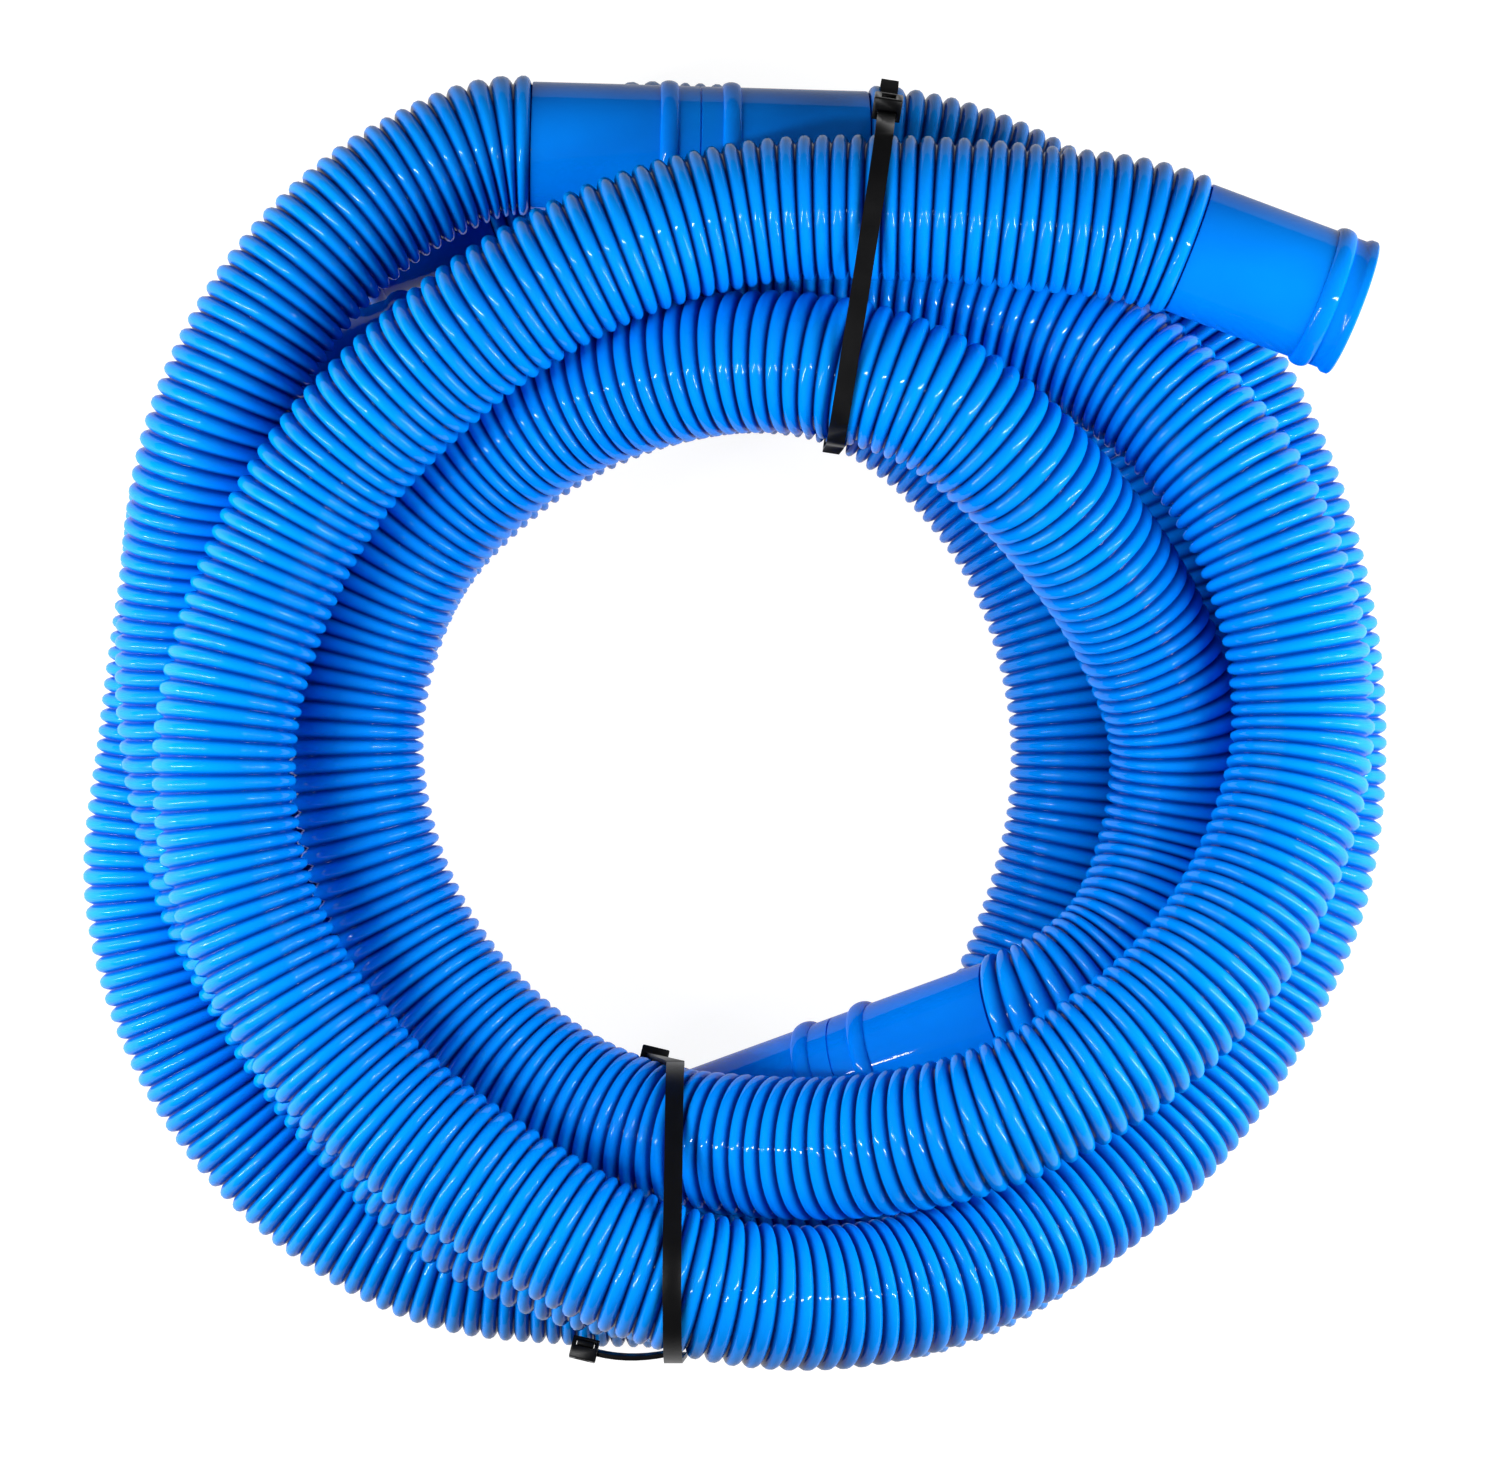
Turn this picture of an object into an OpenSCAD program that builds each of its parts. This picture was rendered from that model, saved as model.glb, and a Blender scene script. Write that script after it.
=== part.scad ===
// Sectional vacuum hose for pools and spas, coiled and held by three cable ties.
// Millimetres, +Z up. The origin is under the middle of the coil, on the floor.

/* [Hose] */
// Bore of the smooth cuffs, which push over a 32 mm spigot
hose_bore = 32; // [25:0.5:50]
// Wall of the blow-moulded hose and of its cuffs
wall = 1.4; // [1:0.1:2]
// How far a rib stands above the outside of a cuff
rib_rise = 1.6; // [1:0.1:2.5]
// Depth of the groove between two ribs
rib_depth = 2.5; // [1.5:0.1:3.5]
// Ribs drawn on each section (the real hose has about 240)
section_ribs = 43; // [20:1:45]

/* [Cuffs] */
// Length of a smooth cuff, from its last rib to its mouth or cut line
cuff_l = 46; // [40:1:48]
// Height of the bead round a cuff
bead_rise = 1.4; // [0.8:0.1:1.5]
// Width of the bead
bead_w = 5; // [4:0.5:6]
// Middle of the bead to the mouth or the cut line
bead_at = 8.5; // [7:0.5:9]
// How far the mouth's lip stands above the cuff
lip_rise = 0.8; // [0.4:0.1:1.2]

/* [Cable ties] */
// Width of a strap
tie_w = 4.8; // [3.6:0.2:6]
// Thickness of a strap
tie_t = 1.3; // [1:0.1:1.5]
// Length of a head along its strap
head_l = 6.5; // [5.5:0.5:7]
// Width of a head
head_w = 7.6; // [7.4:0.2:9]
// Height of a head over the middle of its strap
head_h = 4.4; // [4.2:0.2:6]

/* [Hidden] */

hose_blue = "#078ff5";
cuff_blue = "#1287f0";
nylon_black = "#17181a";

cuff_od = hose_bore + 2 * wall;
rib_od = cuff_od + 2 * rib_rise;
groove_od = rib_od - 2 * rib_depth;
ribbed_bore = groove_od - 2 * wall;
sides = 8;

// The coil's route. Each station is [angle, radius, height] of the hose's centre line, for a
// hose of 38 mm over its ribs. Angles count on from turn to turn, anticlockwise from +X.
k = rib_od / 38;
middle = [-7, 4, 0];
// Height of the centre line where the hose lies on the floor: a tenth of it is cut flat
lay = 15.2;
straight = 49;
end_straight = 50;
far_straight = 86;
// Turn 1: from the end cuff over the top and left, and down the right-hand side
run_1 = [[62, 153.5, 101.5], [75, 143, 100], [90, 137, 98], [105, 132, 99], [120, 129, 97],
    [135, 129, 92], [150, 132, 88], [165, 135, 87.5], [180, 139, 89], [195, 141, 89],
    [210, 140, 90], [225, 138, 92], [240, 137, 96], [255, 141, 100], [270, 146.5, 99],
    [285, 151.5, 89], [300, 153, 75], [315, 155, 62], [330, 156, 53], [345, 158, 48],
    [360, 157.5, 46], [375, 158, 47], [390, 161, 47], [405, 165.6, 47], [420, 166.6, 49],
    [432, 165.4, 52]];
// Turn 2: outer left, under the bottom, down to the floor on the right and round inside
run_2 = [[482, 177, 61], [495, 174.5, 65], [510, 167.5, 65], [525, 159.5, 57], [540, 154.8, 53],
    [555, 152, 48], [570, 149.5, 45], [585, 149.5, 46.5], [600, 152, 50.5], [615, 151, 55],
    [630, 147, 54], [645, 140.5, 45], [660, 126.5, 29.5], [675, 107.5, 18], [690, 99.5, lay],
    [705, 95.5, lay], [720, 93.5, lay], [735, 93, lay], [750, 94.5, lay], [765, 97, lay],
    [780, 101, lay], [795, 105, lay], [810, 105.5, lay], [825, 104.8, lay], [840, 105, lay],
    [855, 106.5, lay], [870, 109.5, lay], [885, 112, lay], [900, 115, lay], [915, 120, lay],
    [930, 122, lay], [945, 125.5, 15.4], [957, 126.5, 17], [969, 124.5, 24]];
// Turn 3: up and round inside, over the bottom, and out to the right-hand side
run_3 = [[1050, 117, 62], [1065, 118.5, 56], [1080, 117, 58], [1095, 110, 65], [1110, 104, 77],
    [1125, 101, 87], [1140, 101, 91], [1155, 100, 90], [1170, 99.5, 84.8], [1185, 99.5, 77.6],
    [1200, 101.5, 69], [1215, 103.5, 61.5], [1230, 106, 57], [1245, 107.5, 54], [1260, 108.8, 54],
    [1275, 109, 54], [1290, 109.3, 54], [1305, 109.8, 57], [1320, 110.5, 63], [1335, 110.5, 72],
    [1350, 109.5, 83], [1365, 112, 94], [1380, 117, 102.5], [1395, 124, 103], [1410, 133, 98],
    [1425, 141, 90.5], [1440, 147, 85], [1455, 147, 85], [1470, 145, 83], [1485, 140, 76.5],
    [1500, 132, 68], [1515, 125.5, 58.5], [1528, 122.5, 51.5], [1538, 123.5, 49.5]];
// Turn 4: down to the floor on the left, and once round under the pile
run_4 = [[1595, 171.5, 21], [1605, 167, 16.8], [1620, 167.5, lay], [1635, 177.5, lay],
    [1650, 182, lay], [1665, 180.7, lay], [1680, 174.2, lay], [1692, 163.5, lay], [1702, 158, lay],
    [1712, 159, lay], [1725, 165.5, lay], [1740, 164.5, lay], [1755, 155, lay], [1770, 144, lay],
    [1785, 136.5, lay], [1800, 134, lay], [1815, 135, lay], [1830, 137, lay], [1845, 141, lay],
    [1860, 146.5, lay], [1872, 152.5, lay], [1881, 157, lay], [1889, 165.5, lay],
    [1896, 168.5, 16]];
// The straight cuffs: middle (or mouth) as [angle, radius, height], then [heading, pitch]
end_mouth = [35.3, 193, 102];
end_dir = [159.5, 0];
cuff_1_mid = [95, 161.3, 55.5];
cuff_1_dir = [178.9, 3];
cuff_2_mid = [287, 98.5, 50];
cuff_2_dir = [21.5, 17];
cuff_3_mid = [128, 138.5, 37.5];
cuff_3_dir = [196.5, -12.5];
far_mouth = [131, 182, 19];
far_dir = [199.5, 0];

function polar(p) = k * ([p[1] * cos(p[0]), p[1] * sin(p[0]), p[2]] - middle);
function dir(d) = [cos(d[0]) * cos(d[1]), sin(d[0]) * cos(d[1]), sin(d[1])];
function ends(mid, d) = [polar(mid) - k * straight * dir(d), polar(mid) + k * straight * dir(d)];

station = concat(
    [polar(end_mouth), polar(end_mouth) + k * end_straight * dir(end_dir)],
    [for (p = run_1) polar(p)], ends(cuff_1_mid, cuff_1_dir),
    [for (p = run_2) polar(p)], ends(cuff_2_mid, cuff_2_dir),
    [for (p = run_3) polar(p)], ends(cuff_3_mid, cuff_3_dir),
    [for (p = run_4) polar(p)],
    [polar(far_mouth) - k * far_straight * dir(far_dir), polar(far_mouth)]);

// Stations at which a straight cuff starts
i_1 = 2 + len(run_1);
i_2 = i_1 + 2 + len(run_2);
i_3 = i_2 + 2 + len(run_3);
i_4 = i_3 + 2 + len(run_4);
cuff_start = [0, i_1, i_2, i_3, i_4];
cuff_dir = [end_dir, cuff_1_dir, cuff_2_dir, cuff_3_dir, far_dir];

// Slope at a station: a cuff's own direction, or that of the circle through its neighbours
function slope_between(a, b, c) =
    let (p = norm(b - a), q = norm(c - b))
    ((b - a) / p * q + (c - b) / q * p) / (p + q);
function slope(i) =
    let (at_cuff = [for (j = [0:4]) if (i == cuff_start[j] || i == cuff_start[j] + 1) j])
    len(at_cuff) > 0 ? dir(cuff_dir[at_cuff[0]])
        : slope_between(station[i - 1], station[i], station[i + 1]);

// The centre line as a smooth curve through the stations, in short steps
steps = 8;
function curve(a, b, u, v, t) =
    let (l = norm(b - a))
    (2 * t ^ 3 - 3 * t ^ 2 + 1) * a + (t ^ 3 - 2 * t ^ 2 + t) * l * u
        + (3 * t ^ 2 - 2 * t ^ 3) * b + (t ^ 3 - t ^ 2) * l * v;
line = concat(
    [for (i = [0:len(station) - 2])
        let (a = station[i], b = station[i + 1], u = slope(i), v = slope(i + 1))
        for (q = [0:steps - 1]) curve(a, b, u, v, q / steps)],
    [station[len(station) - 1]]);

// Length along the centre line, and the point and direction at a length
function run_up(l, i = 0, s = 0, out = []) =
    i == len(l) ? out
        : let (t = i == 0 ? 0 : s + norm(l[i] - l[i - 1])) run_up(l, i + 1, t, concat(out, [t]));
s_line = run_up(line);
hose_l = s_line[len(line) - 1];
x_of = [for (i = [0:len(line) - 1]) [s_line[i], line[i][0]]];
y_of = [for (i = [0:len(line) - 1]) [s_line[i], line[i][1]]];
z_of = [for (i = [0:len(line) - 1]) [s_line[i], line[i][2]]];
function at(s) = [lookup(s, x_of), lookup(s, y_of), lookup(s, z_of)];
function heading(s) =
    let (v = at(min(s + 0.5, hose_l)) - at(max(s - 0.5, 0))) v / norm(v);

// Where each cuff lies along the hose
s_1 = (s_line[i_1 * steps] + s_line[(i_1 + 1) * steps]) / 2;
s_2 = (s_line[i_2 * steps] + s_line[(i_2 + 1) * steps]) / 2;
s_3 = (s_line[i_3 * steps] + s_line[(i_3 + 1) * steps]) / 2;
collar_half = bead_at + bead_w / 2;
free_l = 72 * k;

// Least gap between two stretches of the hose, measured on points 5 mm apart
function body_r(s) =
    let (cuff = min([for (c = [0, s_1, s_2, s_3, hose_l]) abs(s - c)]))
    abs(cuff - bead_at) < bead_w ? cuff_od / 2 + bead_rise
        : cuff < cuff_l ? cuff_od / 2 : rib_od / 2;
probe = [for (s = [0:5:hose_l]) concat(at(s), body_r(s))];
apart = ceil(2 * rib_od / 5);
least_gap = min([for (i = [0:len(probe) - 1 - apart])
    let (a = probe[i], p = [a[0], a[1], a[2]])
    min([for (j = [i + apart:len(probe) - 1])
        let (b = probe[j]) norm([b[0], b[1], b[2]] - p) - a[3] - b[3]])]);
union() {
    echo(str("least gap between two stretches of the hose, mm: ", least_gap));
    echo(str("length of the hose along its centre line, mm: ", hose_l));
}

// Where a vertical plane at a heading, set off sideways, cuts the hose: [along, height,
// half width, half height, length along the hose]. A hose that crosses at a slant takes more
// room across the width of a tie.
function cuts(h, off) =
    let (n = [-sin(h), cos(h), 0], d = [cos(h), sin(h), 0])
    [for (i = [0:len(line) - 2])
        let (a = line[i] * n - off, b = line[i + 1] * n - off)
        if (a * b <= 0 && a != b && line[i] * d > 0)
            let (t = a / (a - b), p = line[i] + t * (line[i + 1] - line[i]),
                v = (line[i + 1] - line[i]) / norm(line[i + 1] - line[i]))
            [p * d, p[2],
                (rib_od / 2 * norm([v[0], v[1]]) + tie_w / 2 * abs(v * d)) / abs(v * n),
                rib_od / 2 + tie_w / 2 * abs(v[2] / (v * n)),
                s_line[i] + t * norm(line[i + 1] - line[i])]];

// The planes of the ties: [heading, sideways offset]
tie_1_plane = [81.2, -10.5 * k - middle * [-sin(81.2), cos(81.2), 0] * k];
tie_2_plane = [270, (-20 - middle[0]) * k];
tie_3_plane = [256.5, -5 * k - middle * [-sin(256.5), cos(256.5), 0] * k];
cut_1 = cuts(tie_1_plane[0], tie_1_plane[1]);
cut_2 = cuts(tie_2_plane[0], tie_2_plane[1]);
cut_3 = cuts(tie_3_plane[0], tie_3_plane[1]);
tie_s = [for (c = concat(cut_1, cut_2, cut_3)) if (c[1] < (lay + 3) * k) c[4]];

// The hose is cut flat on the floor, and over the straps that pass under it
slack = 0.15;
under = 0.3;
over_strap = under + tie_t + slack;
function floor_at(s) =
    min([for (t = tie_s) abs(s - t)]) < 0.75 * rib_od ? over_strap : 0;

// One ring of points round the centre line, flat side down
function ring(s, r, low) =
    let (c = at(s), t = heading(s), a = cross([0, 0, 1], t), x = a / norm(a), y = cross(t, x))
    [for (i = [0:sides - 1])
        let (w = 360 / sides * (i + 0.5), p = c + r * (cos(w) * x + sin(w) * y))
        [p[0], p[1], max(p[2], low)]];

// A hollow tube through a list of [length, radius] outside and inside, as triangles
function skin_faces(n, start, flip) =
    [for (i = [0:n - 2]) for (j = [0:sides - 1])
        let (a = start + i * sides + j, b = start + i * sides + (j + 1) % sides,
            c = a + sides, d = b + sides)
        for (f = [[a, b, d], [a, d, c]]) flip ? [f[2], f[1], f[0]] : f];
function lid_faces(a0, b0, flip) =
    [for (j = [0:sides - 1])
        let (a = a0 + j, b = a0 + (j + 1) % sides, c = b0 + j, d = b0 + (j + 1) % sides)
        for (f = [[a, d, b], [a, c, d]]) flip ? [f[2], f[1], f[0]] : f];
module tube(outer, inner) {
    no = len(outer);
    ni = len(inner);
    points = concat(
        [for (o = outer) for (p = ring(o[0], o[1], floor_at(o[0]))) p],
        [for (o = inner) for (p = ring(o[0], o[1], floor_at(o[0]) + wall)) p]);
    in0 = no * sides;
    polyhedron(points, concat(
        skin_faces(no, 0, true), skin_faces(ni, in0, false),
        lid_faces(0, in0, true), lid_faces((no - 1) * sides, in0 + (ni - 1) * sides, false)));
}

// Ribs between two lengths, starting and ending in a groove, with smooth sleeves before
// and after them where a cuff's own length is moulded on
module ribbed(s0, s1, ribs, sleeve_0, sleeve_1) {
    a = s0 + sleeve_0;
    b = s1 - sleeve_1;
    pitch = (b - a) / ribs;
    outer = concat(
        sleeve_0 > 0 ? [[s0, cuff_od / 2], [a - 0.2, cuff_od / 2]] : [],
        [[a, groove_od / 2]],
        [for (i = [0:ribs - 1]) each [[a + (i + 0.5) * pitch, rib_od / 2],
            [a + (i + 1) * pitch, groove_od / 2]]],
        sleeve_1 > 0 ? [[b + 0.2, cuff_od / 2], [s1, cuff_od / 2]] : []);
    inner = concat(
        sleeve_0 > 0 ? [[s0, hose_bore / 2], [a - 1, hose_bore / 2]] : [],
        [for (i = [0:ribs]) [a + i * pitch, ribbed_bore / 2]],
        sleeve_1 > 0 ? [[b + 1, hose_bore / 2], [s1, hose_bore / 2]] : []);
    tube(outer, inner);
}
sleeve = cuff_l - collar_half;
free_ribs = 3;

// The ribbed stretch behind the end cuff, before the first cable tie: it bends
module hose_free_end()
    color(hose_blue) ribbed(cuff_l, cuff_l + free_l, free_ribs, 0, 0);

// The four sections of ribbed hose, each with the smooth sleeves of its cuffs
module hose_section_1()
    color(hose_blue) ribbed(cuff_l + free_l, s_1 - collar_half, section_ribs - free_ribs, 0, sleeve);
module hose_section_2()
    color(hose_blue) ribbed(s_1 + collar_half, s_2 - collar_half, section_ribs, sleeve, sleeve);
module hose_section_3()
    color(hose_blue) ribbed(s_2 + collar_half, s_3 - collar_half, section_ribs, sleeve, sleeve);
module hose_section_4()
    color(hose_blue) ribbed(s_3 + collar_half, hose_l - cuff_l, section_ribs, sleeve, 0);

// Puts a shape made along +Z on a point, facing a heading and pitch
module along(p, d)
    translate(p) rotate([0, 90 - d[1], d[0]]) children();

// Outline of a bead in a cuff's profile, rising from the cuff's outside
module bead(at)
    translate([cuff_od / 2, at]) scale(bead_rise) polygon(concat([[-0.5, -bead_w / bead_rise / 2]],
        [for (a = [-90:15:90]) [cos(a), sin(a) * bead_w / bead_rise / 2]],
        [[-0.5, bead_w / bead_rise / 2]]));

// A whole end cuff: mouth at the origin, hose at +Z
module cuff_shape()
    rotate_extrude($fn = 96) difference() {
        union() {
            translate([0, 0]) square([cuff_od / 2, cuff_l]);
            polygon([[0, 0], [cuff_od / 2 + lip_rise - 0.4, 0], [cuff_od / 2 + lip_rise, 0.4],
                [cuff_od / 2 + lip_rise, 2], [cuff_od / 2, 3], [0, 3]]);
            bead(bead_at);
        }
        translate([-1, -1]) square([hose_bore / 2 + 1, cuff_l + 2]);
    }
module end_cuff()
    color(cuff_blue) along(polar(end_mouth), end_dir) cuff_shape();
module far_end_cuff()
    color(cuff_blue) along(polar(far_mouth), [far_dir[0] + 180, 0]) cuff_shape();

// The beaded middle of a double cuff, with the line where two sections may be cut apart
module collar_shape()
    rotate_extrude($fn = 96) difference() {
        union() {
            translate([0, -collar_half]) square([cuff_od / 2, 2 * collar_half]);
            bead(bead_at);
            bead(-bead_at);
        }
        translate([-1, -collar_half - 1]) square([hose_bore / 2 + 1, 2 * collar_half + 2]);
        translate([cuff_od / 2 - 0.4, -0.3]) square([1, 0.6]);
    }
module cuff_collar_1()
    color(cuff_blue) along(at(s_1), cuff_1_dir) collar_shape();
module cuff_collar_2()
    color(cuff_blue) along(at(s_2), cuff_2_dir) collar_shape();
module cuff_collar_3()
    color(cuff_blue) along(at(s_3), cuff_3_dir) collar_shape();

// A flat shape drawn as [along, height], set upright in a tie's plane
module upright(plane, w)
    rotate([0, 0, plane[0]]) translate([0, plane[1], 0]) rotate([90, 0, 0])
        linear_extrude(w, center = true) children();

// The outline that a tie's plane cuts through the bundle, above the floor
module bundle(cut)
    intersection() {
        hull() for (c = cut) translate([c[0], c[1]])
            scale([c[2] + slack, c[3] + slack]) circle(1, $fn = 40);
        translate([0, under + tie_t]) square([300 * k, 200 * k]);
    }
module girdle(cut)
    difference() {
        offset(delta = tie_t) bundle(cut);
        bundle(cut);
    }

// Place of a head on the straight stretch of strap between two cuts: [along, height, tilt],
// tilt being the direction in which the head stands
function seat(a, b, f, out) =
    let (d = [b[0] - a[0], b[1] - a[1]], n = out * [d[1], -d[0]] / norm(d),
        m = [a[0] + f * d[0], a[1] + f * d[1]],
        r = rib_od / 2 + slack + tie_t / 2)
    [m[0] + r * n[0], m[1] + r * n[1], atan2(n[1], n[0])];
seat_1 = seat(cut_1[0], cut_1[1], 0.45, -1);
seat_2 = seat(cut_3[0], cut_3[4], 0.82, -1);
seat_3 = seat(cut_3[3], cut_3[2], 0.3, 1);

// Head: a block with a slot for the strap along X and a window for the pawl, standing in +Y
slot_h = tie_t + 0.3;
slot_w = tie_w + 0.4;
win_l = head_l - 2.2;
module head_shape()
    difference() {
        translate([-head_l / 2, -tie_t / 2 - 1.1, -head_w / 2])
            cube([head_l, head_h + tie_t / 2 + 1.1, head_w]);
        translate([-head_l, -slot_h / 2, -slot_w / 2]) cube([2 * head_l, slot_h, slot_w]);
        translate([-win_l / 2, 0, -tie_w / 2 + 0.5]) cube([win_l, head_h + 1, tie_w - 1]);
    }
// Pawl: a tongue from the window's end wall down on to the strap
module pawl_shape()
    translate([0, 0, -tie_w / 2 + 0.7]) linear_extrude(tie_w - 1.4)
        polygon([[-win_l / 2, head_h - 1.6], [-win_l / 2, head_h - 3.2], [win_l / 2 - 1.6, tie_t / 2],
            [win_l / 2 - 0.4, tie_t / 2], [win_l / 2 - 0.4, tie_t / 2 + 1]]);
module on_seat(plane, seat)
    rotate([0, 0, plane[0]]) translate([0, plane[1], 0]) rotate([90, 0, 0])
        translate([seat[0], seat[1], 0]) rotate([0, 0, seat[2] - 90]) children();
// The strap's straight run through a head, in the seat's own frame
module run_through(plane, seat, a, b)
    on_seat(plane, seat) translate([a, -tie_t / 2, -tie_w / 2]) cube([b - a, tie_t, tie_w]);
// What is taken out of a strap round a head's seat, before its straight run goes in
module clear_of_head(seat)
    translate([seat[0], seat[1]]) rotate(seat[2] - 90)
        square([head_l + 2, 4 * tie_t], center = true);

// Tie 1, at the top of the coil: one strap right round
module tie_1_strap()
    color(nylon_black) {
        upright(tie_1_plane, tie_w) difference() {
            girdle(cut_1);
            clear_of_head(seat_1);
        }
        run_through(tie_1_plane, seat_1, -head_l / 2 - 2, head_l / 2 + 2);
    }
module tie_1_head()
    color(nylon_black) on_seat(tie_1_plane, seat_1) head_shape();
module tie_1_pawl()
    color(nylon_black) on_seat(tie_1_plane, seat_1) pawl_shape();

// Tie 2, at the bottom of the coil: from tie 3's head over the top, then curling left to its
// own head
neck_u = cut_2[3][0] - cut_2[3][2] - slack - tie_t;
neck_z = cut_2[3][1] + 1;
curl_z = seat_2[1];
curl_f = (curl_z - cut_2[0][1]) / (cut_2[4][1] - cut_2[0][1]);
curl_bow = 1.5;
// From the strap's outer side to the side of the head, in plan
curl_from = [tie_2_plane[1], -seat(cut_2[0], cut_2[4], curl_f, -1)[0]];
head_dir = [cos(tie_3_plane[0]), sin(tie_3_plane[0])];
curl_to = (seat_2[0] + 1.5) * head_dir
    + (tie_3_plane[1] + head_w / 2) * [-head_dir[1], head_dir[0]];
module curl()
    translate([0, 0, curl_z - tie_w / 2]) linear_extrude(tie_w)
        polygon([for (side = [-1, 1]) for (i = [0:8])
            let (t = (side < 0 ? i : 8 - i) / 8)
            curl_from + t * (curl_to - curl_from)
                + (4 * t * (1 - t) * curl_bow + side * tie_t / 2) * head_dir]);
module neck()
    hull() {
        upright(tie_2_plane, tie_w) translate([neck_u, neck_z]) square([tie_t, 0.4]);
        on_seat(tie_3_plane, seat_3)
            translate([head_l / 2, head_h - 3.4, -tie_w / 2]) cube([0.3, tie_t, tie_w]);
    }
module tie_2_strap()
    color(nylon_black) {
        upright(tie_2_plane, tie_w) intersection() {
            girdle(cut_2);
            polygon([[0, neck_z], [cut_2[3][0], neck_z], [cut_2[0][0], curl_z - tie_w / 2],
                [300 * k, curl_z - tie_w / 2], [300 * k, 200 * k], [0, 200 * k]]);
        }
        neck();
        curl();
    }
module tie_2_head()
    color(nylon_black) on_seat(tie_3_plane, seat_2) head_shape();
module tie_2_pawl()
    color(nylon_black) on_seat(tie_3_plane, seat_2) pawl_shape();

// Tie 3, at the bottom of the coil: from tie 2's end under the pile and up inside
module tie_3_strap()
    color(nylon_black) {
        upright(tie_3_plane, tie_w) difference() {
            intersection() {
                girdle(cut_3);
                polygon([[0, -10], [0, seat_3[1]], [cut_3[2][0], seat_3[1]],
                    [cut_3[0][0], seat_2[1]], [300 * k, seat_2[1]], [300 * k, -10]]);
            }
            clear_of_head(seat_3);
            clear_of_head(seat_2);
        }
        run_through(tie_3_plane, seat_3, -head_l / 2 - 2, head_l / 2 + 1);
        run_through(tie_3_plane, seat_2, -head_l / 2 - 1, head_l / 2 + 2);
    }
module tie_3_head()
    color(nylon_black) on_seat(tie_3_plane, seat_3) head_shape();
module tie_3_pawl()
    color(nylon_black) on_seat(tie_3_plane, seat_3) pawl_shape();

end_cuff();
hose_free_end();
hose_section_1();
cuff_collar_1();
hose_section_2();
cuff_collar_2();
hose_section_3();
cuff_collar_3();
hose_section_4();
far_end_cuff();
tie_1_strap();
tie_1_head();
tie_1_pawl();
tie_2_strap();
tie_2_head();
tie_2_pawl();
tie_3_strap();
tie_3_head();
tie_3_pawl();
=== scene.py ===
from bisect import bisect_right
from math import cos, pi, radians, sin

import bpy
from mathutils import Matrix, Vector


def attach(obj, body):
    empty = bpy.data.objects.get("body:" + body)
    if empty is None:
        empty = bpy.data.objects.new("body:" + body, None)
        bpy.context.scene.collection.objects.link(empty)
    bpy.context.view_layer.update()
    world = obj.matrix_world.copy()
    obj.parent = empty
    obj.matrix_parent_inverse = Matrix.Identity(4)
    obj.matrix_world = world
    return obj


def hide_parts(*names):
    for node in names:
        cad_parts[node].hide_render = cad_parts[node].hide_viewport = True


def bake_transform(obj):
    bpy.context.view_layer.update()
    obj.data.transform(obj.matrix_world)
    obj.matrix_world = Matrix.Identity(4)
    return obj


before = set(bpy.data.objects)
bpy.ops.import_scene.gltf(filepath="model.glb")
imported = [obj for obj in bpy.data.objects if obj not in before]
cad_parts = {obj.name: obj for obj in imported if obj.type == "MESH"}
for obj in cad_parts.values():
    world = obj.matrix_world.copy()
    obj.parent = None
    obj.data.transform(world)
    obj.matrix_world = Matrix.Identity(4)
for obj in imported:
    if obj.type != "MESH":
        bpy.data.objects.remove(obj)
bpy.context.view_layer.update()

# The camera, straight above the coil, with +Y at the top of its view. The view is 1500 px wide,
# and the lens is given by its focal length in those pixels.
camera_height = 1.0
view_px = 1500
focal_px = 3437
sensor_mm = 36
camera = bpy.data.objects.new("camera", bpy.data.cameras.new("camera"))
camera.data.sensor_fit = "HORIZONTAL"
camera.data.sensor_width = sensor_mm
camera.data.lens = sensor_mm * focal_px / view_px
camera.data.clip_start = .05
camera.data.clip_end = 50
camera.location = (.007, -.004, camera_height)
bpy.context.scene.collection.objects.link(camera)
bpy.context.scene.camera = camera

# The route of the hose: one long piece of hose, coiled by hand into some five uneven turns. Each
# station is the angle, radius and height of its centre line, as in the part's own source.
middle = Vector((-.007, .004, 0))
lay = .0152
straight = .049
end_straight = .05
far_straight = .086
run_1 = [(62, .1535, .1015), (75, .143, .1), (90, .137, .098), (105, .132, .099), (120, .129, .097),
    (135, .129, .092), (150, .132, .088), (165, .135, .0875), (180, .139, .089), (195, .141, .089),
    (210, .14, .09), (225, .138, .092), (240, .137, .096), (255, .141, .1), (270, .1465, .099),
    (285, .1515, .089), (300, .153, .075), (315, .155, .062), (330, .156, .053), (345, .158, .048),
    (360, .1575, .046), (375, .158, .047), (390, .161, .047), (405, .1656, .047),
    (420, .1666, .049), (432, .1654, .052)]
run_2 = [(482, .177, .061), (495, .1745, .065), (510, .1675, .065), (525, .1595, .057),
    (540, .1548, .053), (555, .152, .048), (570, .1495, .045), (585, .1495, .0465),
    (600, .152, .0505), (615, .151, .055), (630, .147, .054), (645, .1405, .045),
    (660, .1265, .0295), (675, .1075, .018), (690, .0995, lay), (705, .0955, lay),
    (720, .0935, lay), (735, .093, lay), (750, .0945, lay), (765, .097, lay), (780, .101, lay),
    (795, .105, lay), (810, .1055, lay), (825, .1048, lay), (840, .105, lay), (855, .1065, lay),
    (870, .1095, lay), (885, .112, lay), (900, .115, lay), (915, .12, lay), (930, .122, lay),
    (945, .1255, .0154), (957, .1265, .017), (969, .1245, .024)]
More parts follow.
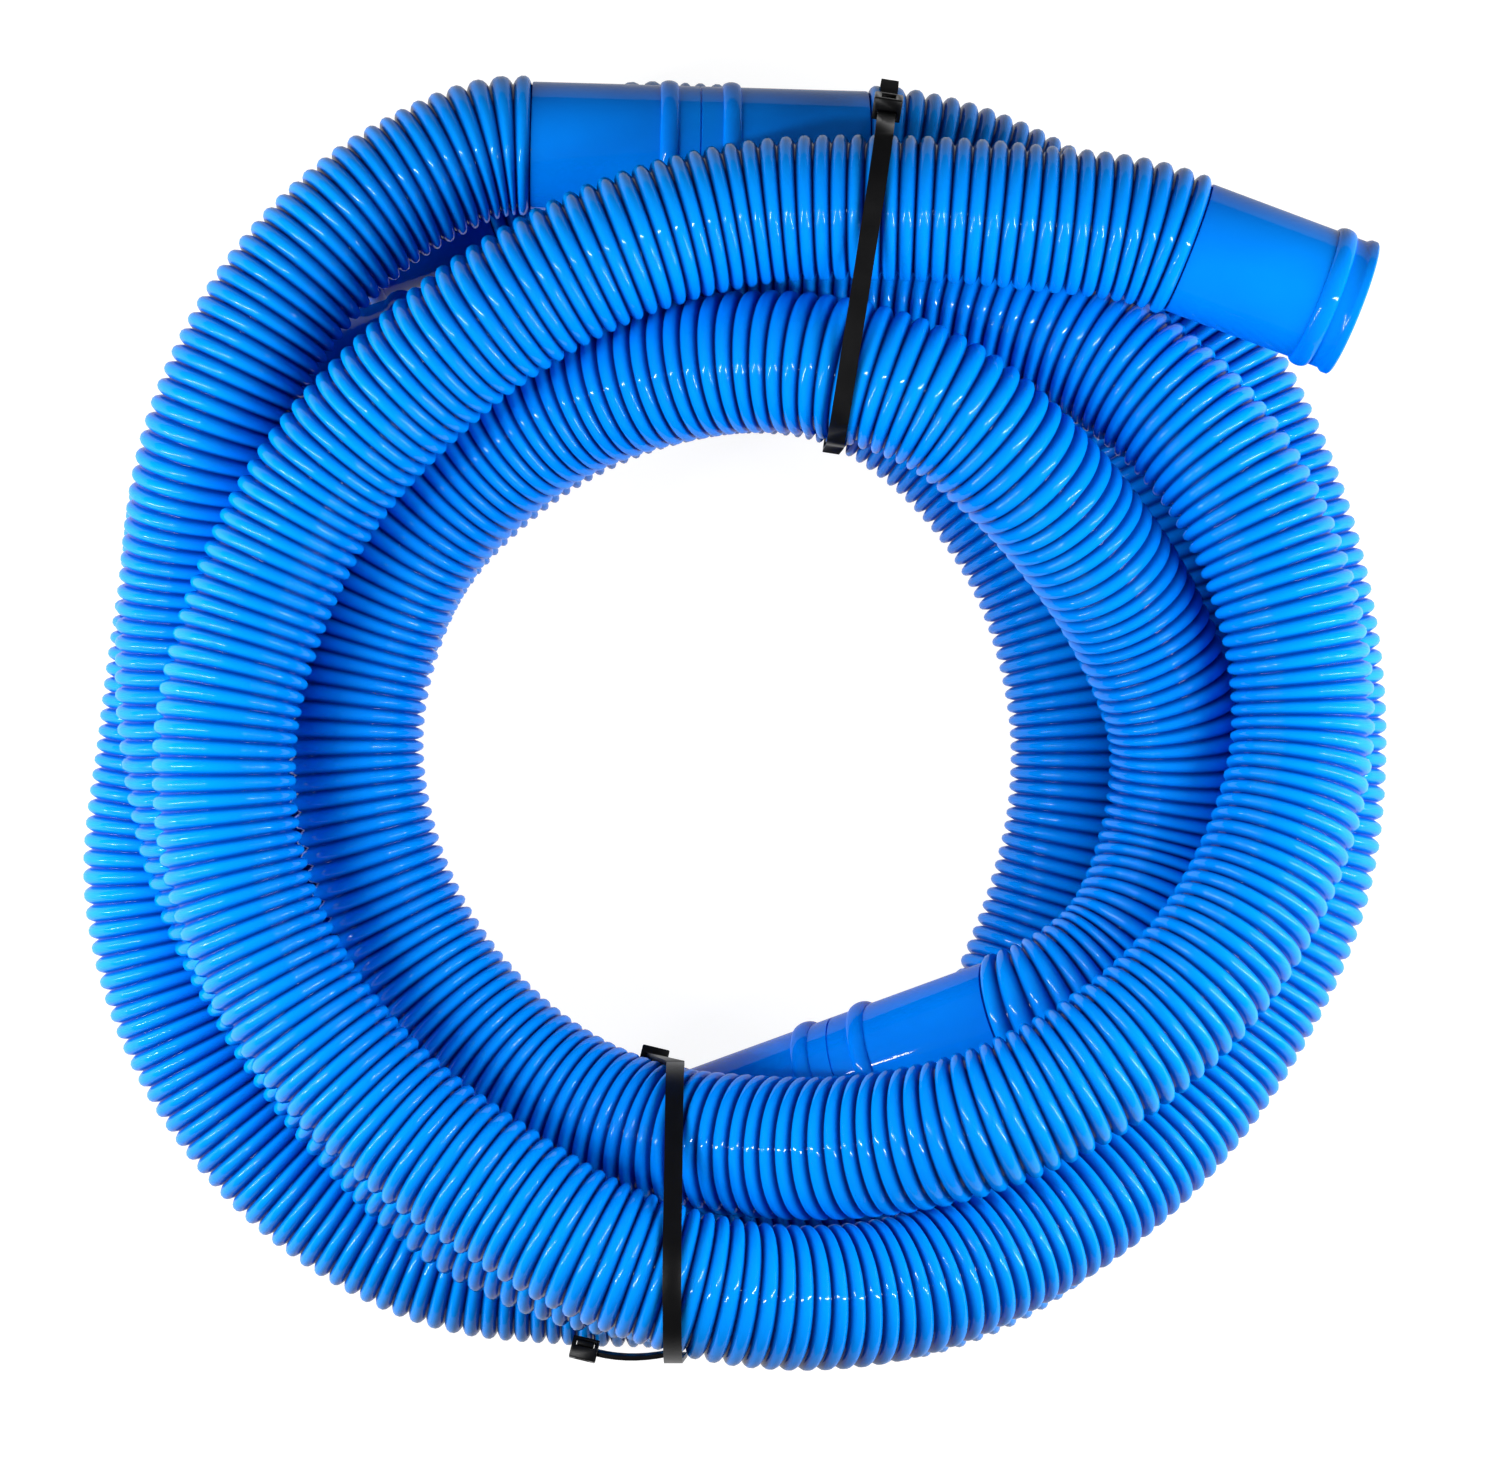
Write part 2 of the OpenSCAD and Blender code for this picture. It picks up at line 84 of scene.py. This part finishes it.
run_3 = [(1050, .117, .062), (1065, .1185, .056), (1080, .117, .058), (1095, .11, .065),
    (1110, .104, .077), (1125, .101, .087), (1140, .101, .091), (1155, .1, .09),
    (1170, .0995, .0848), (1185, .0995, .0776), (1200, .1015, .069), (1215, .1035, .0615),
    (1230, .106, .057), (1245, .1075, .054), (1260, .1088, .054), (1275, .109, .054),
    (1290, .1093, .054), (1305, .1098, .057), (1320, .1105, .063), (1335, .1105, .072),
    (1350, .1095, .083), (1365, .112, .094), (1380, .117, .1025), (1395, .124, .103),
    (1410, .133, .098), (1425, .141, .0905), (1440, .147, .085), (1455, .147, .085),
    (1470, .145, .083), (1485, .14, .0765), (1500, .132, .068), (1515, .1255, .0585),
    (1528, .1225, .0515), (1538, .1235, .0495)]
run_4 = [(1595, .1715, .021), (1605, .167, .0168), (1620, .1675, lay), (1635, .1775, lay),
    (1650, .182, lay), (1665, .1807, lay), (1680, .1742, lay), (1692, .1635, lay),
    (1702, .158, lay), (1712, .159, lay), (1725, .1655, lay), (1740, .1645, lay), (1755, .155, lay),
    (1770, .144, lay), (1785, .1365, lay), (1800, .134, lay), (1815, .135, lay), (1830, .137, lay),
    (1845, .141, lay), (1860, .1465, lay), (1872, .1525, lay), (1881, .157, lay),
    (1889, .1655, lay), (1896, .1685, .016)]
# The straight cuffs: mouth or middle as a station, then their heading and pitch
end_mouth, end_dir = (35.3, .193, .102), (159.5, 0)
cuff_mids = [(95, .1613, .0555), (287, .0985, .05), (128, .1385, .0375)]
cuff_dirs = [(178.9, 3), (21.5, 17), (196.5, -12.5)]
far_mouth, far_dir = (131, .182, .019), (199.5, 0)


def polar(station):
    """A station as a point, from its angle in degrees, radius and height."""
    angle, radius, height = station
    turn = radians(angle)
    return Vector((radius * cos(turn), radius * sin(turn), height)) - middle


def direction(heading, pitch):
    """The unit vector of a heading and a pitch in degrees."""
    h, p = radians(heading), radians(pitch)
    return Vector((cos(h) * cos(p), sin(h) * cos(p), sin(p)))


stations = [polar(end_mouth), polar(end_mouth) + end_straight * direction(*end_dir)]
slopes = [direction(*end_dir)] * 2
for run, mid, way in zip([run_1, run_2, run_3], cuff_mids, cuff_dirs):
    stations += [polar(p) for p in run]
    slopes += [None] * len(run)
    stations += [polar(mid) - straight * direction(*way), polar(mid) + straight * direction(*way)]
    slopes += [direction(*way)] * 2
stations += [polar(p) for p in run_4]
slopes += [None] * len(run_4)
stations += [polar(far_mouth) - far_straight * direction(*far_dir), polar(far_mouth)]
slopes += [direction(*far_dir)] * 2
for i, slope in enumerate(slopes):
    if slope is None:
        before, after = stations[i] - stations[i - 1], stations[i + 1] - stations[i]
        slopes[i] = (before.normalized() * after.length + after.normalized() * before.length) / (
            before.length + after.length)

# The centre line as a smooth curve through the stations, and the length along it
steps = 32
line = []
for i in range(len(stations) - 1):
    a, b = stations[i], stations[i + 1]
    chord = (b - a).length
    for q in range(steps):
        t = q / steps
        line.append((2 * t**3 - 3 * t**2 + 1) * a + (t**3 - 2 * t**2 + t) * chord * slopes[i]
            + (3 * t**2 - 2 * t**3) * b + (t**3 - t**2) * chord * slopes[i + 1])
line.append(stations[-1])
along = [0]
for a, b in zip(line, line[1:]):
    along.append(along[-1] + (b - a).length)
hose_length = along[-1]


def at(s):
    """The point of the centre line at a length along the hose."""
    i = min(max(bisect_right(along, s) - 1, 0), len(line) - 2)
    return line[i].lerp(line[i + 1], (s - along[i]) / (along[i + 1] - along[i]))


def heading_at(s):
    """The direction in which the hose runs at a length along it."""
    return (at(min(s + .002, hose_length)) - at(max(s - .002, 0))).normalized()


# How far along the hose each double cuff has its middle. Two stations lie before the first run.
mid_lengths = []
cuff_station = 2
for run in (run_1, run_2, run_3):
    cuff_station += len(run)
    mid_lengths.append((along[cuff_station * steps] + along[(cuff_station + 1) * steps]) / 2)
    cuff_station += 2

# The ribbed hose: blow-moulded EVA, soft enough to coil, with a rib every 4.4 mm and a smooth
# bore. It lies on the floor with a tenth of its height pressed flat, and a little higher over
# the cable ties that pass under it.
rib_pitch = .0044
rib_r = .019
groove_r = .0165
bore_r = .0151
sides = 44
# One rib from groove to groove: share of the pitch, and how far it stands out of the groove
rib_shape = [(0, 0), (.09, .4), (.21, .76), (.38, .97), (.62, .97), (.79, .76), (.91, .4)]
bore_step = .008
# On the floor: how far a groove and the bore stay above the ribs' flats
floor_groove = .0008
floor_wall = .0016
# Over a tie: how high the strap lifts the hose, half the length lifted, and the run down from it
strap_height = .00175
lift_half = .008
lift_run = .02
# Hose whose centre line is less than this above its lowest place lies on the floor
floor_slack = .003
# The planes of the three ties: heading and sideways offset, in the route's own frame
tie_planes = [(81.2, -.0105), (270, -.02), (256.5, -.005)]
tie_lengths = []
for heading, offset in tie_planes:
    out, side = direction(heading, 0), direction(heading + 90, 0)
    for i, (a, b) in enumerate(zip(line, line[1:])):
        past_a, past_b = (a + middle).dot(side) - offset, (b + middle).dot(side) - offset
        if past_a * past_b <= 0 and a.dot(out) > 0 and a.z < lay + floor_slack:
            tie_lengths.append(along[i])


def floor_at(s):
    """The height of what the hose lies on: the floor, or the strap of a tie."""
    nearest = min(abs(s - t) for t in tie_lengths)
    t = min(max((nearest - lift_half) / lift_run, 0), 1)
    return strap_height * (1 - t * t * (3 - 2 * t))


def hose_ring(s, r, low):
    """A ring of points round the centre line, none of them under a height."""
    centre, ahead = at(s), heading_at(s)
    x = Vector((0, 0, 1)).cross(ahead).normalized()
    y = ahead.cross(x)
    ring = []
    for i in range(sides):
        w = 2 * pi * (i + .5) / sides
        p = centre + r * (cos(w) * x + sin(w) * y)
        p.z = max(p.z, low)
        ring.append(p)
    return ring


def ribbed_tube(name, s0, s1):
    """A ribbed tube between two lengths, from groove to groove, with its bore."""
    ribs = round((s1 - s0) / rib_pitch)
    pitch = (s1 - s0) / ribs
    outer = [(s0 + (i + share) * pitch, height) for i in range(ribs) for share, height in rib_shape]
    outer.append((s1, 0))
    cells = round((s1 - s0) / bore_step)
    inner = [s1 - (s1 - s0) * i / cells for i in range(cells + 1)]
    points, crest = [], []
    for s, height in outer:
        low = floor_at(s) + floor_groove * (1 - height)
        points += hose_ring(s, groove_r + (rib_r - groove_r) * height, low)
        crest += [height] * sides
    for s in inner:
        points += hose_ring(s, bore_r, floor_at(s) + floor_wall)
        crest += [0] * sides
    rings = len(outer) + len(inner)
    faces = []
    for k in range(rings):
        for j in range(sides):
            a, b = k * sides + j, k * sides + (j + 1) % sides
            c, d = (k + 1) % rings * sides + j, (k + 1) % rings * sides + (j + 1) % sides
            faces.append((a, b, d, c))
    mesh = bpy.data.meshes.new(name)
    mesh.from_pydata(points, [], faces)
    # The height of the ribs, 0 in the grooves and the bore, from which the material paints shade in
    # those hollows.
    mesh.attributes.new("crest", "FLOAT", "POINT").data.foreach_set("value", crest)
    mesh.shade_smooth()
    tube = bpy.data.objects.new(name, mesh)
    bpy.context.scene.collection.objects.link(tube)
    return tube


def linear(code):
    """A colour written as sRGB hex, as the linear values that Blender takes."""
    parts = [int(code[i:i + 2], 16) / 255 for i in (1, 3, 5)]
    return [p / 12.92 if p <= .04045 else ((p + .055) / 1.055) ** 2.4 for p in parts] + [1]


def node(tree, kind, links=(), **settings):
    """Adds a shader node. A setting with a socket's name goes on that socket, and so does a link."""
    made = tree.nodes.new(kind)
    for key, value in settings.items():
        if hasattr(made, key):
            setattr(made, key, value)
        else:
            made.inputs[key.replace("_", " ")].default_value = value
    for target, source in dict(links).items():
        tree.links.new(source, made.inputs[target])
    return made


def new_material(name):
    """A material with an empty node tree, for one of the object's finishes."""
    made = bpy.data.materials.new(name)
    made.use_nodes = True
    made.node_tree.nodes.clear()
    return made, made.node_tree


# Blow-moulded EVA: a strong, even blue all through, under a clear gloss off the mould that is a
# little uneven. The gloss is a coat on a matt base, and the grooves between the ribs and the bore
# are painted darker, as painted shade.
eva, tree = new_material("blow_moulded_eva")
place = node(tree, "ShaderNodeTexCoord").outputs["Object"]
# Cloudy change of tone over some 40 mm, and the fine unevenness of the skin at 1.5 mm
cloud = node(tree, "ShaderNodeTexNoise", {"Vector": place}, Scale=25, Detail=3).outputs["Fac"]
skin = node(tree, "ShaderNodeTexNoise", {"Vector": place}, Scale=650, Detail=2).outputs["Fac"]
crest = node(tree, "ShaderNodeAttribute", attribute_name="crest").outputs["Fac"]
tone = node(tree, "ShaderNodeValToRGB", {"Fac": cloud})
tone.color_ramp.elements[0].color = linear("#0088f4")
tone.color_ramp.elements[0].position = .3
tone.color_ramp.elements[1].color = linear("#0094fc")
tone.color_ramp.elements[1].position = .7
# Painted shade: dark navy in the grooves and the bore, going over to the hose's blue on the crests
# of the ribs.
rise = node(tree, "ShaderNodeMapRange", {"Value": crest})
rise.interpolation_type = "SMOOTHSTEP"
colour = node(tree, "ShaderNodeMix", data_type="RGBA")
colour.inputs[6].default_value = linear("#00389c")
tree.links.new(rise.outputs["Result"], colour.inputs["Factor"])
tree.links.new(tone.outputs["Color"], colour.inputs[7])
rough = node(tree, "ShaderNodeMapRange", {"Value": skin}, To_Min=.04, To_Max=.07)
bump = node(tree, "ShaderNodeBump", {"Height": skin}, Strength=.05, Distance=.0002)
plastic = node(tree, "ShaderNodeBsdfPrincipled", {
    "Base Color": colour.outputs[2], "Coat Roughness": rough.outputs["Result"],
    "Normal": bump.outputs["Normal"], "Coat Normal": bump.outputs["Normal"]},
    Specular_IOR_Level=0, Roughness=.5, Coat_Weight=.4, Coat_IOR=1.5)
node(tree, "ShaderNodeOutputMaterial", {"Surface": plastic.outputs["BSDF"]})

# Each section runs from cuff to cuff. The first starts behind the free end, at the upper tie.
cuff_half = .046
free_length = .072
free_from, free_to = cuff_half, cuff_half + free_length
ends = [free_to] + [s + way * cuff_half for s in mid_lengths for way in (-1, 1)]
ends.append(hose_length - cuff_half)
hoses = []
for i in range(4):
    hose = ribbed_tube(f"ribbed_hose_{i + 1}", ends[2 * i], ends[2 * i + 1])
    hose.data.materials.append(eva)
    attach(hose, "coil")
    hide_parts(f"hose_section_{i + 1}")
    hoses.append(hose)

# The free end of the hose, between the first cable tie and the end cuff. It is the same ribbed tube.
free_end = ribbed_tube("ribbed_free_end", free_from, free_to)
free_end.data.materials.append(eva)
at(free_to)
at(free_from)
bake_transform(free_end)
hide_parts("hose_free_end")

# The smooth cuffs, moulded in one with the hose in a stiffer, thicker wall. A double cuff joins
# two sections, with a bead each side of the line where they may be cut apart. An end cuff has
# one bead behind a rolled lip, and its bore takes a 32 mm spigot.
cuff_r = .0174
cuff_bore_r = .016
bead_rise = .0014
bead_w = .005
bead_at = .0085
cut_depth = .0004
cut_w = .0006
shoulder = .0006
shoulder_edge = .0001
bore_lead = .001
lip_rise = .0008
lip_w = .0024
lip_round = .0004
lip_foot = .0006


def bead(z):
    """A half-round bead in a cuff's profile, with its middle at z."""
    return [(cuff_r + bead_rise * cos(radians(a)), z + bead_w / 2 * sin(radians(a)))
        for a in range(-90, 91, 15)]


def turned(name, profile, mouth, way):
    """A ring-shaped piece with a closed profile of (radius, z), with its z along a direction."""
    bpy.ops.object.select_all(action="DESELECT")
    bpy.ops.mesh.primitive_circle_add(vertices=96, radius=profile[0][0], location=(0, 0, 0))
    piece = bpy.context.object
    piece.name = piece.data.name = name
    bpy.ops.object.mode_set(mode="EDIT")
    bpy.ops.transform.translate(value=(0, 0, profile[0][1]))
    for (r0, z0), (r1, z1) in zip(profile, profile[1:] + profile[:1]):
        bpy.ops.mesh.extrude_region_move(TRANSFORM_OT_translate={"value": (0, 0, z1 - z0)})
        bpy.ops.transform.resize(value=(r1 / r0, r1 / r0, 1), center_override=(0, 0, z1))
    bpy.ops.mesh.select_all(action="SELECT")
    bpy.ops.mesh.remove_doubles(threshold=1e-5)
    bpy.ops.mesh.normals_make_consistent(inside=False)
    bpy.ops.object.mode_set(mode="OBJECT")
    bpy.ops.object.shade_smooth_by_angle(angle=radians(40))
    piece.rotation_euler = (0, pi / 2 - radians(way[1]), radians(way[0]))
    piece.location = mouth
    bpy.ops.object.transform_apply(location=True, rotation=True, scale=True)
    return piece


# Moulded EVA off a smooth mould: the same blue a shade deeper than on the hose, even over the
# whole cuff, under the same clear gloss.
cuff_eva, tree = new_material("smooth_moulded_eva")
place = node(tree, "ShaderNodeTexCoord").outputs["Object"]
# Cloudy change of tone over some 25 mm, and a skin that is uneven at 2.4 mm
cloud = node(tree, "ShaderNodeTexNoise", {"Vector": place}, Scale=40, Detail=3).outputs["Fac"]
skin = node(tree, "ShaderNodeTexNoise", {"Vector": place}, Scale=420, Detail=2).outputs["Fac"]
tone = node(tree, "ShaderNodeValToRGB", {"Fac": cloud})
tone.color_ramp.elements[0].color = linear("#007cec")
tone.color_ramp.elements[0].position = .3
tone.color_ramp.elements[1].color = linear("#0086f6")
tone.color_ramp.elements[1].position = .7
rough = node(tree, "ShaderNodeMapRange", {"Value": skin}, To_Min=.04, To_Max=.07)
bump = node(tree, "ShaderNodeBump", {"Height": skin}, Strength=.05, Distance=.0003)
plastic = node(tree, "ShaderNodeBsdfPrincipled", {
    "Base Color": tone.outputs["Color"], "Coat Roughness": rough.outputs["Result"],
    "Normal": bump.outputs["Normal"], "Coat Normal": bump.outputs["Normal"]},
    Specular_IOR_Level=0, Roughness=.5, Coat_Weight=.4, Coat_IOR=1.5)
node(tree, "ShaderNodeOutputMaterial", {"Surface": plastic.outputs["BSDF"]})

double_profile = [(groove_r, -cuff_half), (cuff_r - shoulder_edge, -cuff_half + shoulder / 3),
    (cuff_r, -cuff_half + shoulder), *bead(-bead_at),
    (cuff_r, -cut_w / 2), (cuff_r - cut_depth, -cut_w / 4),
    (cuff_r - cut_depth, cut_w / 4), (cuff_r, cut_w / 2),
    *bead(bead_at), (cuff_r, cuff_half - shoulder),
    (cuff_r - shoulder_edge, cuff_half - shoulder / 3),
    (groove_r, cuff_half), (bore_r, cuff_half), (cuff_bore_r, cuff_half - bore_lead),
    (cuff_bore_r, -cuff_half + bore_lead), (bore_r, -cuff_half)]
for i in range(3):
    cuff = turned(f"double_cuff_{i + 1}", double_profile, at(mid_lengths[i]), cuff_dirs[i])
    cuff.data.materials.append(cuff_eva)
    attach(cuff, "coil")
    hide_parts(f"cuff_collar_{i + 1}")

lip_r = cuff_r + lip_rise
end_profile = [(cuff_bore_r + lip_round, 0), (lip_r - lip_round, 0), (lip_r, lip_round),
    (lip_r, lip_w - lip_foot), (lip_r - lip_foot / 2, lip_w), (cuff_r, lip_w + lip_foot),
    *bead(bead_at), (cuff_r, cuff_half - shoulder),
    (cuff_r - shoulder_edge, cuff_half - shoulder / 3),
    (groove_r, cuff_half), (bore_r, cuff_half), (cuff_bore_r, cuff_half - bore_lead),
    (cuff_bore_r, lip_round)]
mouth_cuff = turned("mouth_cuff", end_profile, polar(end_mouth), end_dir)
mouth_cuff.data.materials.append(cuff_eva)
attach(mouth_cuff, "free_end")
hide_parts("end_cuff")
far_cuff = turned("far_mouth_cuff", end_profile, polar(far_mouth), (far_dir[0] + 180, 0))
far_cuff.data.materials.append(cuff_eva)
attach(far_cuff, "coil")
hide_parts("far_end_cuff")

# The path of each section of hose, from the piece before it to the cuff after it, is looked up every
# 10 mm, and nothing is kept of it.
mark_step = .01
for i, hose in enumerate(hoses):
    s0, s1 = ends[2 * i], ends[2 * i + 1]
    marks = round((s1 - s0) / mark_step)
    at(s0)
    [at(s0 + (s1 - s0) * m / marks) for m in range(marks + 1)]

# The cable ties: nylon straps 4.8 mm wide, injection moulded in one with a head that holds a
# small pawl. One goes round the top of the coil, and two are joined end to end round the bottom.
# Moulded nylon is black all through, half matt, and more polished where it was handled.
nylon, tree = new_material("black_moulded_nylon")
place = node(tree, "ShaderNodeTexCoord").outputs["Object"]
# Polished places some 8 mm long, and a grain of 1 mm, drawn coarser than the real one to show
grain = node(tree, "ShaderNodeTexNoise", {"Vector": place}, Scale=900, Detail=2).outputs["Fac"]
smear = node(tree, "ShaderNodeTexNoise", {"Vector": place}, Scale=120, Detail=3).outputs["Fac"]
tone = node(tree, "ShaderNodeValToRGB", {"Fac": smear})
tone.color_ramp.elements[0].color = linear("#040405")
tone.color_ramp.elements[1].color = linear("#0a0a0c")
rough = node(tree, "ShaderNodeMapRange", {"Value": smear}, To_Min=.3, To_Max=.5)
bump = node(tree, "ShaderNodeBump", {"Height": grain}, Strength=.15, Distance=.0002)
plastic = node(tree, "ShaderNodeBsdfPrincipled", {
    "Base Color": tone.outputs["Color"], "Roughness": rough.outputs["Result"],
    "Normal": bump.outputs["Normal"]}, IOR=1.53, Specular_IOR_Level=.25)
node(tree, "ShaderNodeOutputMaterial", {"Surface": plastic.outputs["BSDF"]})


def moulded(cad_node, name, edge):
    """A moulded piece on a CAD node's shape, its edges rounded as the mould leaves them."""
    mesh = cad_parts[cad_node].data.copy()
    mesh.materials.clear()
    piece = bpy.data.objects.new(name, mesh)
    bpy.context.scene.collection.objects.link(piece)
    bpy.ops.object.select_all(action="DESELECT")
    piece.select_set(True)
    bpy.context.view_layer.objects.active = piece
    bpy.ops.object.mode_set(mode="EDIT")
    bpy.ops.mesh.select_all(action="SELECT")
    bpy.ops.mesh.remove_doubles(threshold=1e-5)
    bpy.ops.mesh.dissolve_limited(angle_limit=radians(1))
    bpy.ops.object.mode_set(mode="OBJECT")
    rounding = piece.modifiers.new("rounding", "BEVEL")
    rounding.width = edge
    rounding.segments = 2
    rounding.limit_method = "ANGLE"
    rounding.angle_limit = radians(40)
    bpy.ops.object.modifier_apply(modifier="rounding")
    bpy.ops.object.shade_smooth_by_angle(angle=radians(40))
    piece.data.materials.append(nylon)
    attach(piece, "coil")
    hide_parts(cad_node)
    return piece


for i in (1, 2, 3):
    moulded(f"tie_{i}_strap", f"cable_tie_strap_{i}", edge=.0003)
    moulded(f"tie_{i}_head", f"cable_tie_head_{i}", edge=.0004)
    moulded(f"tie_{i}_pawl", f"cable_tie_pawl_{i}", edge=.0001)

# The floor: plain white to the eye and in a reflection, and matt grey under the lamps, so that
# the coil keeps its soft shadow.
bpy.ops.object.select_all(action="DESELECT")
bpy.ops.mesh.primitive_plane_add(size=40, location=(0, 0, -.0001))
floor = bpy.context.object
floor.name = "floor"
white, tree = new_material("white_floor")
seen = node(tree, "ShaderNodeLightPath")
back = node(tree, "ShaderNodeMath", {0: seen.outputs["Is Camera Ray"],
    1: seen.outputs["Is Glossy Ray"]}, operation="MAXIMUM")
back = node(tree, "ShaderNodeMath", {0: back.outputs[0], 1: seen.outputs["Is Transmission Ray"]},
    operation="MAXIMUM")
matt = node(tree, "ShaderNodeBsdfDiffuse", Color=linear("#808080"))
glow = node(tree, "ShaderNodeEmission", {"Strength": back.outputs[0]}, Color=linear("#f7f7f7"))
both = node(tree, "ShaderNodeAddShader")
tree.links.new(matt.outputs[0], both.inputs[0])
tree.links.new(glow.outputs[0], both.inputs[1])
node(tree, "ShaderNodeOutputMaterial", {"Surface": both.outputs[0]})
floor.data.materials.append(white)

# The light: on the left and on the right a long strip lamp, nearly 60 degrees off the vertical,
# and a soft panel low down that no gloss mirrors, in a dim room.
for side in (-1, 1):
    for name, x, y, z, width, length, power in (
            ("strip", .68, -.1, .45, .03, .95, 6.2), ("panel", .5, 0, .14, .28, .9, 2.8)):
        lamp = bpy.data.objects.new(f"{name}_{side}", bpy.data.lights.new(f"{name}_{side}", "AREA"))
        lamp.data.shape = "RECTANGLE"
        lamp.data.size = width
        lamp.data.size_y = length
        lamp.data.energy = power
        lamp.visible_glossy = name == "strip"
        lamp.location = (x * side, y, z)
        lamp.rotation_euler = (-lamp.location).to_track_quat("-Z", "Y").to_euler()
        bpy.context.scene.collection.objects.link(lamp)
room = bpy.data.worlds.new("room")
bpy.context.scene.world = room
room.use_nodes = True
room.node_tree.nodes["Background"].inputs["Color"].default_value = linear("#ffffff")
room.node_tree.nodes["Background"].inputs["Strength"].default_value = .1
bpy.context.scene.view_settings.view_transform = "Standard"
